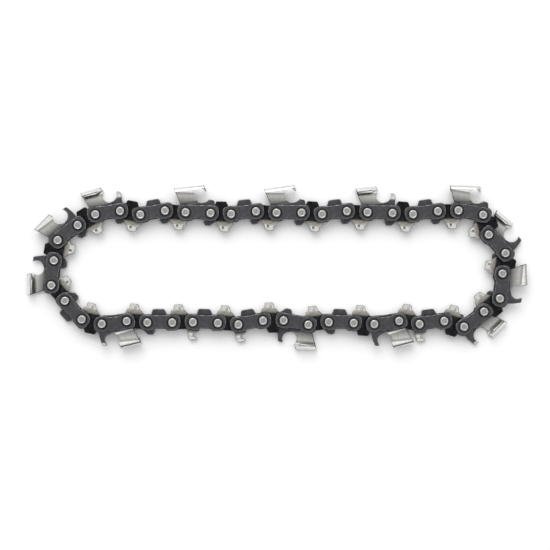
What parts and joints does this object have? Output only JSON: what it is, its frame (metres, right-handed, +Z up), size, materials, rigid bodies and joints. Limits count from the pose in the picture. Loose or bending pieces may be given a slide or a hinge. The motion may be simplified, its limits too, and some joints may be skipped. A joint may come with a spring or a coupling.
{
  "type": "chainsaw chain",
  "caption": "Closed saw chain loop of drive links, tie straps and chromed cutters on rivets, lying flat; its side links swing on their rivets.",
  "frame": {"origin": "middle of the loop's outer box, on the surface that the chain lies on", "axes": "+X along the loop's long side, +Y across it, +Z up along the rivets; the cutters travel clockwise seen from above"},
  "size_m": [0.21, 0.0692, 0.0058],
  "materials": {
    "blued_steel": "stamped steel, blued and lightly oiled, with bright rivet heads",
    "ground_steel": "stamped drive links, dark body with a ground bright tang",
    "chromed_steel": "hard chrome on side plate and top plate, blued chassis and depth gauge"
  },
  "bodies": {
    "chain_start": {"preset_strap_01": "blued_steel", "right_cutter_01": "chromed_steel", "drive_link_23": "ground_steel", "drive_link_01": "ground_steel"},
    "side_02": {"tie_link_02": "blued_steel"},
    "side_03": {"left_cutter_03": "chromed_steel", "preset_strap_03": "blued_steel"},
    "side_04": {"tie_link_04": "blued_steel"},
    "side_05": {"left_cutter_05": "chromed_steel", "preset_strap_05": "blued_steel"},
    "side_06": {"tie_link_06": "blued_steel"},
    "side_07": {"preset_strap_07": "blued_steel", "right_cutter_07": "chromed_steel"},
    "side_08": {"tie_link_08": "blued_steel"},
    "side_09": {"left_cutter_09": "chromed_steel", "preset_strap_09": "blued_steel"},
    "side_10": {"preset_strap_10": "blued_steel", "right_cutter_10": "chromed_steel"},
    "side_11": {"left_cutter_11": "chromed_steel", "preset_strap_11": "blued_steel"},
    "side_12": {"preset_strap_12": "blued_steel", "right_cutter_12": "chromed_steel"},
    "side_13": {"tie_link_13": "blued_steel"},
    "side_14": {"left_cutter_14": "chromed_steel", "preset_strap_14": "blued_steel"},
    "side_15": {"tie_link_15": "blued_steel"},
    "side_16": {"preset_strap_16": "blued_steel", "right_cutter_16": "chromed_steel"},
    "side_17": {"tie_link_17": "blued_steel"},
    "side_18": {"tie_link_18": "blued_steel"},
    "side_19": {"tie_link_19": "blued_steel"},
    "side_20": {"left_cutter_20": "chromed_steel", "preset_strap_20": "blued_steel"},
    "side_21": {"tie_link_21": "blued_steel"},
    "side_22": {"preset_strap_22": "blued_steel", "right_cutter_22": "chromed_steel"},
    "side_23": {"left_cutter_23": "chromed_steel", "preset_strap_23": "blued_steel"},
    "drive_02": {"drive_link_02": "ground_steel"},
    "drive_03": {"drive_link_03": "ground_steel"},
    "drive_04": {"drive_link_04": "ground_steel"},
    "drive_05": {"drive_link_05": "ground_steel"},
    "drive_06": {"drive_link_06": "ground_steel"},
    "drive_07": {"drive_link_07": "ground_steel"},
    "drive_08": {"drive_link_08": "ground_steel"},
    "drive_09": {"drive_link_09": "ground_steel"},
    "drive_10": {"drive_link_10": "ground_steel"},
    "drive_11": {"drive_link_11": "ground_steel"},
    "drive_12": {"drive_link_12": "ground_steel"},
    "drive_13": {"drive_link_13": "ground_steel"},
    "drive_14": {"drive_link_14": "ground_steel"},
    "drive_15": {"drive_link_15": "ground_steel"},
    "drive_16": {"drive_link_16": "ground_steel"},
    "drive_17": {"drive_link_17": "ground_steel"},
    "drive_18": {"drive_link_18": "ground_steel"},
    "drive_19": {"drive_link_19": "ground_steel"},
    "drive_20": {"drive_link_20": "ground_steel"},
    "drive_21": {"drive_link_21": "ground_steel"},
    "drive_22": {"drive_link_22": "ground_steel"}
  },
  "joints": [
    {"name": "side_02_swing", "type": "hinge", "parent": "chain_start", "child": "side_02", "pos_m": [-0.05707, 0.02209, 0.0029], "axis": [0, 0, 1], "range_deg": [-10, 10]},
    {"name": "drive_02_turn", "type": "hinge", "parent": "side_02", "child": "drive_02", "pos_m": [-0.04675, 0.02372, 0.0029], "axis": [0, 0, 1], "range_deg": [-10, 10]},
    {"name": "side_03_swing", "type": "hinge", "parent": "drive_02", "child": "side_03", "pos_m": [-0.03817, 0.02309, 0.0029], "axis": [0, 0, 1], "range_deg": [-10, 10]},
    {"name": "drive_03_turn", "type": "hinge", "parent": "side_03", "child": "drive_03", "pos_m": [-0.02773, 0.02272, 0.0029], "axis": [0, 0, 1], "range_deg": [-10, 10]},
    {"name": "side_04_swing", "type": "hinge", "parent": "drive_03", "child": "side_04", "pos_m": [-0.01913, 0.02236, 0.0029], "axis": [0, 0, 1], "range_deg": [-10, 10]},
    {"name": "drive_04_turn", "type": "hinge", "parent": "side_04", "child": "drive_04", "pos_m": [-0.00874, 0.02345, 0.0029], "axis": [0, 0, 1], "range_deg": [-10, 10]},
    {"name": "side_05_swing", "type": "hinge", "parent": "drive_04", "child": "side_05", "pos_m": [-0.00016, 0.02291, 0.0029], "axis": [0, 0, 1], "range_deg": [-10, 10]},
    {"name": "drive_05_turn", "type": "hinge", "parent": "side_05", "child": "drive_05", "pos_m": [0.01029, 0.02291, 0.0029], "axis": [0, 0, 1], "range_deg": [-10, 10]},
    {"name": "side_06_swing", "type": "hinge", "parent": "drive_05", "child": "side_06", "pos_m": [0.01887, 0.02227, 0.0029], "axis": [0, 0, 1], "range_deg": [-10, 10]},
    {"name": "drive_06_turn", "type": "hinge", "parent": "side_06", "child": "drive_06", "pos_m": [0.02924, 0.02354, 0.0029], "axis": [0, 0, 1], "range_deg": [-10, 10]},
    {"name": "side_07_swing", "type": "hinge", "parent": "drive_06", "child": "side_07", "pos_m": [0.03783, 0.02309, 0.0029], "axis": [0, 0, 1], "range_deg": [-10, 10]},
    {"name": "drive_07_turn", "type": "hinge", "parent": "side_07", "child": "drive_07", "pos_m": [0.04827, 0.02272, 0.0029], "axis": [0, 0, 1], "range_deg": [-10, 10]},
    {"name": "side_08_swing", "type": "hinge", "parent": "drive_07", "child": "side_08", "pos_m": [0.05686, 0.02227, 0.0029], "axis": [0, 0, 1], "range_deg": [-10, 10]},
    {"name": "drive_08_turn", "type": "hinge", "parent": "side_08", "child": "drive_08", "pos_m": [0.06723, 0.02354, 0.0029], "axis": [0, 0, 1], "range_deg": [-10, 10]},
    {"name": "side_09_swing", "type": "hinge", "parent": "drive_08", "child": "side_09", "pos_m": [0.07583, 0.02381, 0.0029], "axis": [0, 0, 1], "range_deg": [-10, 10]},
    {"name": "drive_09_turn", "type": "hinge", "parent": "side_09", "child": "drive_09", "pos_m": [0.08612, 0.022, 0.0029], "axis": [0, 0, 1], "range_deg": [-10, 10]},
    {"name": "side_10_swing", "type": "hinge", "parent": "drive_09", "child": "side_10", "pos_m": [0.08846, 0.01372, 0.0029], "axis": [0, 0, 1], "range_deg": [-12, 7.5]},
    {"name": "drive_10_turn", "type": "hinge", "parent": "side_10", "child": "drive_10", "pos_m": [0.09545, 0.00596, 0.0029], "axis": [0, 0, 1], "range_deg": [-7.5, 12]},
    {"name": "side_11_swing", "type": "hinge", "parent": "drive_10", "child": "side_11", "pos_m": [0.09423, -0.00256, 0.0029], "axis": [0, 0, 1], "range_deg": [-12, 12]},
    {"name": "drive_11_turn", "type": "hinge", "parent": "side_11", "child": "drive_11", "pos_m": [0.09313, -0.01295, 0.0029], "axis": [0, 0, 1], "range_deg": [-12, 12]},
    {"name": "side_23_swing", "type": "hinge", "parent": "chain_start", "child": "side_23", "pos_m": [-0.08321, 0.01769, 0.0029], "axis": [0, 0, 1], "range_deg": [-12, 12]},
    {"name": "drive_22_turn", "type": "hinge", "parent": "side_23", "child": "drive_22", "pos_m": [-0.09156, 0.0114, 0.0029], "axis": [0, 0, 1], "range_deg": [-12, 12]},
    {"name": "side_22_swing", "type": "hinge", "parent": "drive_22", "child": "side_22", "pos_m": [-0.09313, 0.00295, 0.0029], "axis": [0, 0, 1], "range_deg": [-12, 12]},
    {"name": "drive_21_turn", "type": "hinge", "parent": "side_22", "child": "drive_21", "pos_m": [-0.09423, -0.00745, 0.0029], "axis": [0, 0, 1], "range_deg": [-12, 12]},
    {"name": "side_21_swing", "type": "hinge", "parent": "drive_21", "child": "side_21", "pos_m": [-0.08853, -0.01389, 0.0029], "axis": [0, 0, 1], "range_deg": [-12, 7.5]},
    {"name": "drive_20_turn", "type": "hinge", "parent": "side_21", "child": "drive_20", "pos_m": [-0.08154, -0.02166, 0.0029], "axis": [0, 0, 1], "range_deg": [-7.5, 12]},
    {"name": "side_20_swing", "type": "hinge", "parent": "drive_20", "child": "side_20", "pos_m": [-0.07315, -0.02353, 0.0029], "axis": [0, 0, 1], "range_deg": [-10, 10]},
    {"name": "drive_19_turn", "type": "hinge", "parent": "side_20", "child": "drive_19", "pos_m": [-0.06275, -0.02243, 0.0029], "axis": [0, 0, 1], "range_deg": [-10, 10]},
    {"name": "side_19_swing", "type": "hinge", "parent": "drive_19", "child": "side_19", "pos_m": [-0.05417, -0.02298, 0.0029], "axis": [0, 0, 1], "range_deg": [-10, 10]},
    {"name": "drive_18_turn", "type": "hinge", "parent": "side_19", "child": "drive_18", "pos_m": [-0.04372, -0.02298, 0.0029], "axis": [0, 0, 1], "range_deg": [-10, 10]},
    {"name": "side_18_swing", "type": "hinge", "parent": "drive_18", "child": "side_18", "pos_m": [-0.03512, -0.0228, 0.0029], "axis": [0, 0, 1], "range_deg": [-10, 10]},
    {"name": "drive_17_turn", "type": "hinge", "parent": "side_18", "child": "drive_17", "pos_m": [-0.02468, -0.02316, 0.0029], "axis": [0, 0, 1], "range_deg": [-10, 10]},
    {"name": "side_17_swing", "type": "hinge", "parent": "drive_17", "child": "side_17", "pos_m": [-0.0161, -0.0238, 0.0029], "axis": [0, 0, 1], "range_deg": [-10, 10]},
    {"name": "drive_16_turn", "type": "hinge", "parent": "side_17", "child": "drive_16", "pos_m": [-0.00578, -0.02216, 0.0029], "axis": [0, 0, 1], "range_deg": [-10, 10]},
    {"name": "side_16_swing", "type": "hinge", "parent": "drive_16", "child": "side_16", "pos_m": [0.00282, -0.02207, 0.0029], "axis": [0, 0, 1], "range_deg": [-10, 10]},
    {"name": "drive_15_turn", "type": "hinge", "parent": "side_16", "child": "drive_15", "pos_m": [0.01311, -0.02389, 0.0029], "axis": [0, 0, 1], "range_deg": [-10, 10]},
    {"name": "side_15_swing", "type": "hinge", "parent": "drive_15", "child": "side_15", "pos_m": [0.02164, -0.0228, 0.0029], "axis": [0, 0, 1], "range_deg": [-10, 10]},
    {"name": "drive_14_turn", "type": "hinge", "parent": "side_15", "child": "drive_14", "pos_m": [0.03208, -0.02316, 0.0029], "axis": [0, 0, 1], "range_deg": [-10, 10]},
    {"name": "side_14_swing", "type": "hinge", "parent": "drive_14", "child": "side_14", "pos_m": [0.04067, -0.02362, 0.0029], "axis": [0, 0, 1], "range_deg": [-10, 10]},
    {"name": "drive_13_turn", "type": "hinge", "parent": "side_14", "child": "drive_13", "pos_m": [0.05104, -0.02234, 0.0029], "axis": [0, 0, 1], "range_deg": [-10, 10]},
    {"name": "side_13_swing", "type": "hinge", "parent": "drive_13", "child": "side_13", "pos_m": [0.05955, -0.02362, 0.0029], "axis": [0, 0, 1], "range_deg": [-10, 10]},
    {"name": "drive_12_turn", "type": "hinge", "parent": "side_13", "child": "drive_12", "pos_m": [0.06992, -0.02234, 0.0029], "axis": [0, 0, 1], "range_deg": [-10, 10]},
    {"name": "side_12_swing", "type": "hinge", "parent": "drive_12", "child": "side_12", "pos_m": [0.07818, -0.02474, 0.0029], "axis": [0, 0, 1], "range_deg": [-12, 12]}
  ],
  "couplings": [
    {"joint": "drive_02_turn", "follows": "side_02_swing", "ratio": -1},
    {"joint": "drive_03_turn", "follows": "side_03_swing", "ratio": -1},
    {"joint": "drive_04_turn", "follows": "side_04_swing", "ratio": -1},
    {"joint": "drive_05_turn", "follows": "side_05_swing", "ratio": -1},
    {"joint": "drive_06_turn", "follows": "side_06_swing", "ratio": -1},
    {"joint": "drive_07_turn", "follows": "side_07_swing", "ratio": -1},
    {"joint": "drive_08_turn", "follows": "side_08_swing", "ratio": -1},
    {"joint": "drive_09_turn", "follows": "side_09_swing", "ratio": -1},
    {"joint": "drive_10_turn", "follows": "side_10_swing", "ratio": -1},
    {"joint": "drive_11_turn", "follows": "side_11_swing", "ratio": -1},
    {"joint": "side_13_swing", "follows": "side_06_swing", "ratio": 1},
    {"joint": "drive_12_turn", "follows": "side_06_swing", "ratio": -1},
    {"joint": "side_14_swing", "follows": "side_08_swing", "ratio": 1},
    {"joint": "drive_13_turn", "follows": "side_08_swing", "ratio": -1},
    {"joint": "side_15_swing", "follows": "side_07_swing", "ratio": 1},
    {"joint": "drive_14_turn", "follows": "side_07_swing", "ratio": -1},
    {"joint": "side_16_swing", "follows": "side_09_swing", "ratio": 1},
    {"joint": "drive_15_turn", "follows": "side_09_swing", "ratio": -1},
    {"joint": "side_17_swing", "follows": "side_02_swing", "ratio": 1},
    {"joint": "drive_16_turn", "follows": "side_02_swing", "ratio": -1},
    {"joint": "side_18_swing", "follows": "side_03_swing", "ratio": 1},
    {"joint": "drive_17_turn", "follows": "side_03_swing", "ratio": -1},
    {"joint": "side_19_swing", "follows": "side_05_swing", "ratio": 1},
    {"joint": "drive_18_turn", "follows": "side_05_swing", "ratio": -1},
    {"joint": "side_20_swing", "follows": "side_04_swing", "ratio": 1},
    {"joint": "drive_19_turn", "follows": "side_04_swing", "ratio": -1},
    {"joint": "side_21_swing", "follows": "side_10_swing", "ratio": 1},
    {"joint": "drive_20_turn", "follows": "side_10_swing", "ratio": -1},
    {"joint": "side_22_swing", "follows": "side_11_swing", "ratio": 1},
    {"joint": "drive_21_turn", "follows": "side_11_swing", "ratio": -1},
    {"joint": "side_23_swing", "follows": "side_12_swing", "ratio": 1},
    {"joint": "drive_22_turn", "follows": "side_12_swing", "ratio": -1}
  ]
}
